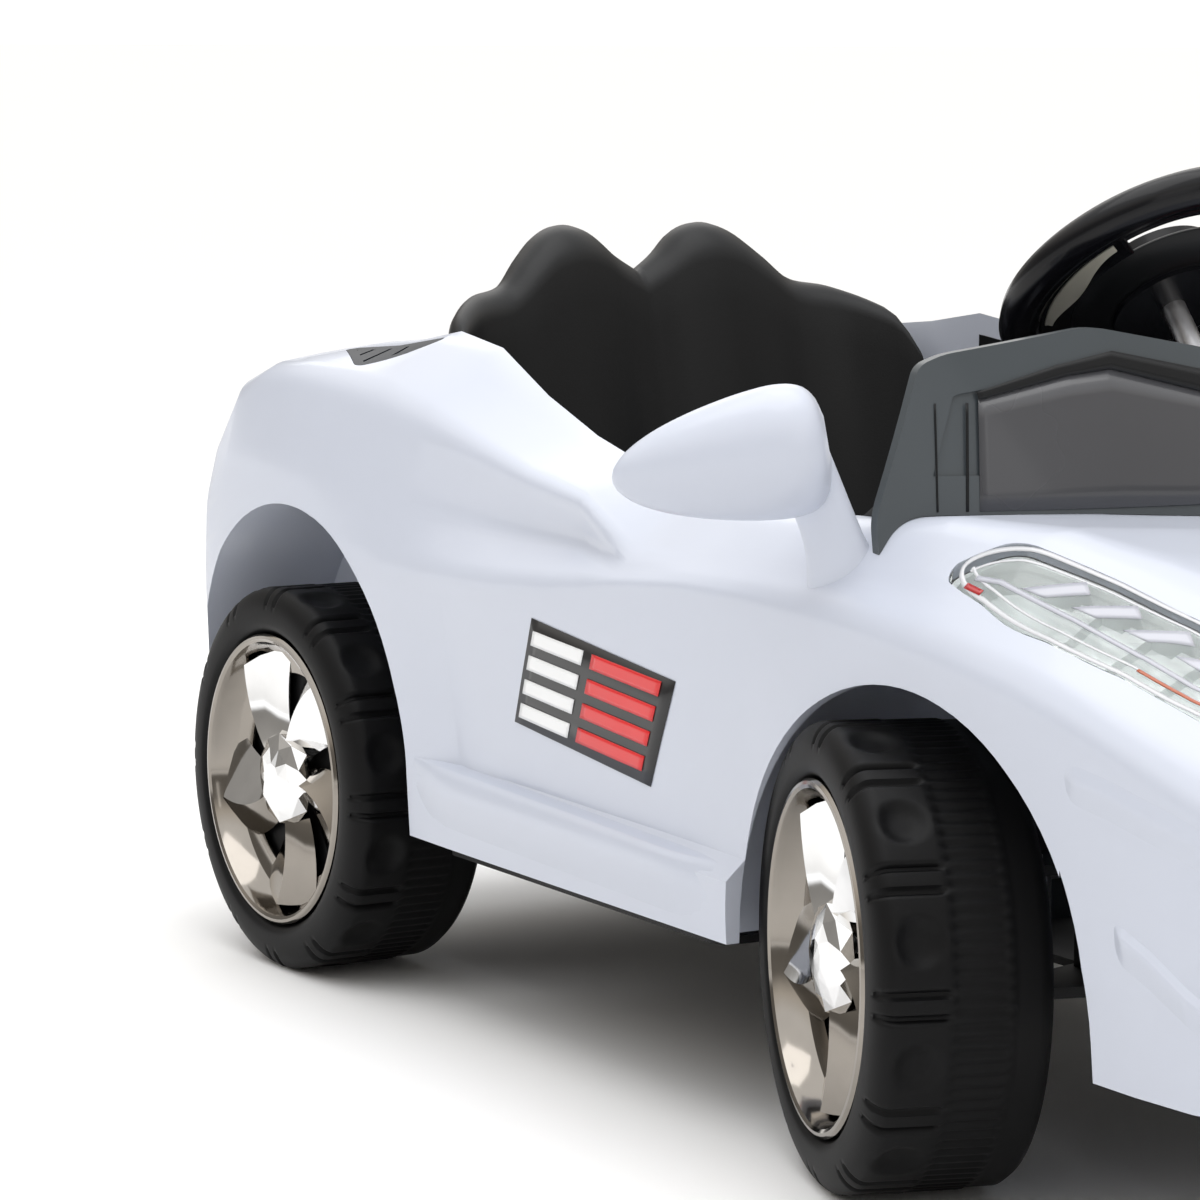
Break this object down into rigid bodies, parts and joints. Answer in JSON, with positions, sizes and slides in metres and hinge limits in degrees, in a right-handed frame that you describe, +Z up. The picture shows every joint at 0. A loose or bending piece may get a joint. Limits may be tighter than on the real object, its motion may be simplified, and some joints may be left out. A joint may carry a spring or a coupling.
{
  "type": "electric ride-on car",
  "caption": "White one-seat electric ride-on toy car with black wheels, bright hubcaps, a dark windscreen, a black seat and a steering wheel that turns the front wheels.",
  "frame": {"origin": "on the ground, under the middle of the car", "axes": "+X forward, +Y to the car's left, +Z up"},
  "size_m": [1, 0.6108, 0.4516],
  "materials": {
    "body_white": "gloss",
    "trim_black": "satin",
    "chassis_black": "matte",
    "screen_dark": "semi-gloss",
    "clear_lens": "clear",
    "reflector": "bright",
    "tail_red": "gloss",
    "grille_dark": "satin",
    "mirror_white": "gloss",
    "mirror_glass": "mirror",
    "wheel_black": "satin",
    "hubcap_chrome": "bright plated",
    "steering_black": "gloss",
    "blade_silver": "satin silver",
    "steel": "bright zinc",
    "gear_white": "satin",
    "pinion_brass": "machined",
    "battery_grey": "matte",
    "switch_red": "gloss"
  },
  "bodies": {
    "chassis": {"body_shell": "body_white", "floor_tray": "chassis_black", "front_grille": "grille_dark", "windscreen": "screen_dark", "seat": "trim_black", "dashboard": "trim_black", "charge_socket": "battery_grey", "kingpins": "steel", "column_post": "chassis_black", "column_bush": "gear_white", "rear_axle": "steel", "rear_axle_nuts": "steel", "gearbox_case_inner": "chassis_black", "gearbox_case_outer": "chassis_black", "gear_pins": "steel", "drive_motor": "steel", "battery": "battery_grey", "control_box": "battery_grey", "pedal_bracket": "chassis_black", "pedal_switch": "battery_grey", "headlamp_lens_right": "clear_lens", "headlamp_lens_left": "clear_lens", "headlamp_reflector_right": "reflector", "headlamp_reflector_left": "reflector", "tail_lamp_right": "tail_red", "tail_lamp_left": "tail_red", "shoulder_intake_right": "grille_dark", "shoulder_intake_left": "grille_dark", "mirror_housing_right": "mirror_white", "mirror_housing_left": "mirror_white", "mirror_glass_right": "mirror_glass", "mirror_glass_left": "mirror_glass", "cockpit_liner_right": "trim_black", "cockpit_liner_left": "trim_black", "kingpin_carrier_right": "chassis_black", "kingpin_carrier_left": "chassis_black"},
    "steering": {"steering_wheel": "steering_black", "spoke_blades": "blade_silver", "steering_column": "steel"},
    "horn": {"horn_button": "steering_black"},
    "steer_knuckle_right": {"knuckle_right": "steel", "front_axle_nut_right": "steel"},
    "steer_knuckle_left": {"knuckle_left": "steel", "front_axle_nut_left": "steel"},
    "steer_link": {"tie_rod": "steel"},
    "front_right": {"front_wheel_right": "wheel_black", "front_hubcap_right": "hubcap_chrome"},
    "front_left": {"front_wheel_left": "wheel_black", "front_hubcap_left": "hubcap_chrome"},
    "rear_right": {"rear_wheel_right": "wheel_black", "rear_hubcap_right": "hubcap_chrome"},
    "rear_left": {"rear_wheel_left": "wheel_black", "rear_hubcap_left": "hubcap_chrome", "output_gear": "gear_white"},
    "gear_two": {"second_gear": "gear_white"},
    "gear_one": {"first_gear": "gear_white"},
    "rotor": {"motor_pinion": "pinion_brass"},
    "pedal": {"accelerator_pedal": "chassis_black"},
    "power": {"power_switch": "switch_red"},
    "direction": {"direction_switch": "switch_red"}
  },
  "joints": [
    {"name": "steering_turn", "type": "hinge", "parent": "chassis", "child": "steering", "pos_m": [0.117, 0, 0.396], "axis": [-0.6428, 0, 0.766], "range_deg": [-7, 43]},
    {"name": "knuckle_right_turn", "type": "hinge", "parent": "chassis", "child": "steer_knuckle_right", "pos_m": [0.2265, -0.152, 0.105], "axis": [0, 0, 1], "range_deg": [-7, 43]},
    {"name": "knuckle_left_turn", "type": "hinge", "parent": "chassis", "child": "steer_knuckle_left", "pos_m": [0.2265, 0.152, 0.105], "axis": [0, 0, 1], "range_deg": [-7, 43]},
    {"name": "tie_rod_pivot", "type": "hinge", "parent": "steer_knuckle_right", "child": "steer_link", "pos_m": [0.1837, -0.13809, 0.1298], "axis": [0, 0, 1], "range_deg": [-43, 7]},
    {"name": "front_right_spin", "type": "hinge", "parent": "steer_knuckle_right", "child": "front_right", "pos_m": [0.20858, -0.20716, 0.105], "axis": [0.309, 0.9511, 0], "continuous": true},
    {"name": "front_left_spin", "type": "hinge", "parent": "steer_knuckle_left", "child": "front_left", "pos_m": [0.24442, 0.20716, 0.105], "axis": [0.309, 0.9511, 0], "continuous": true},
    {"name": "rear_right_spin", "type": "hinge", "parent": "chassis", "child": "rear_right", "pos_m": [-0.3365, -0.21, 0.105], "axis": [0, 1, 0], "continuous": true},
    {"name": "rear_left_spin", "type": "hinge", "parent": "chassis", "child": "rear_left", "pos_m": [-0.3365, 0.21, 0.105], "axis": [0, 1, 0], "continuous": true},
    {"name": "gear_two_spin", "type": "hinge", "parent": "chassis", "child": "gear_two", "pos_m": [-0.32242, 0.115, 0.13149], "axis": [0, 1, 0], "continuous": true},
    {"name": "gear_one_spin", "type": "hinge", "parent": "chassis", "child": "gear_one", "pos_m": [-0.29894, 0.127, 0.13648], "axis": [0, 1, 0], "continuous": true},
    {"name": "rotor_spin", "type": "hinge", "parent": "chassis", "child": "rotor", "pos_m": [-0.27952, 0.13, 0.12615], "axis": [0, 1, 0], "continuous": true},
    {"name": "pedal_press", "type": "hinge", "parent": "chassis", "child": "pedal", "pos_m": [0.052, -0.046, 0.1], "axis": [0, 1, 0], "range_deg": [0, 12], "stiffness_Nm_per_rad": 1.2, "springref_deg": -17.19},
    {"name": "power_rock", "type": "hinge", "parent": "chassis", "child": "power", "pos_m": [0.172, 0.046, 0.3], "axis": [0, 1, 0], "range_deg": [-9, 9]},
    {"name": "direction_rock", "type": "hinge", "parent": "chassis", "child": "direction", "pos_m": [0.172, 0.076, 0.3], "axis": [0, 1, 0], "range_deg": [-9, 9]},
    {"name": "horn_press", "type": "slide", "parent": "steering", "child": "horn", "axis": [0.6428, 0, -0.766], "range_m": [0, 0.0026], "stiffness_N_per_m": 600, "springref_m": -0.002}
  ],
  "couplings": [
    {"joint": "knuckle_right_turn", "follows": "steering_turn", "ratio": 1},
    {"joint": "knuckle_left_turn", "follows": "steering_turn", "ratio": 1},
    {"joint": "tie_rod_pivot", "follows": "steering_turn", "ratio": -1},
    {"joint": "gear_two_spin", "follows": "rear_left_spin", "ratio": -3},
    {"joint": "gear_one_spin", "follows": "rear_left_spin", "ratio": 9},
    {"joint": "rotor_spin", "follows": "rear_left_spin", "ratio": -24}
  ]
}
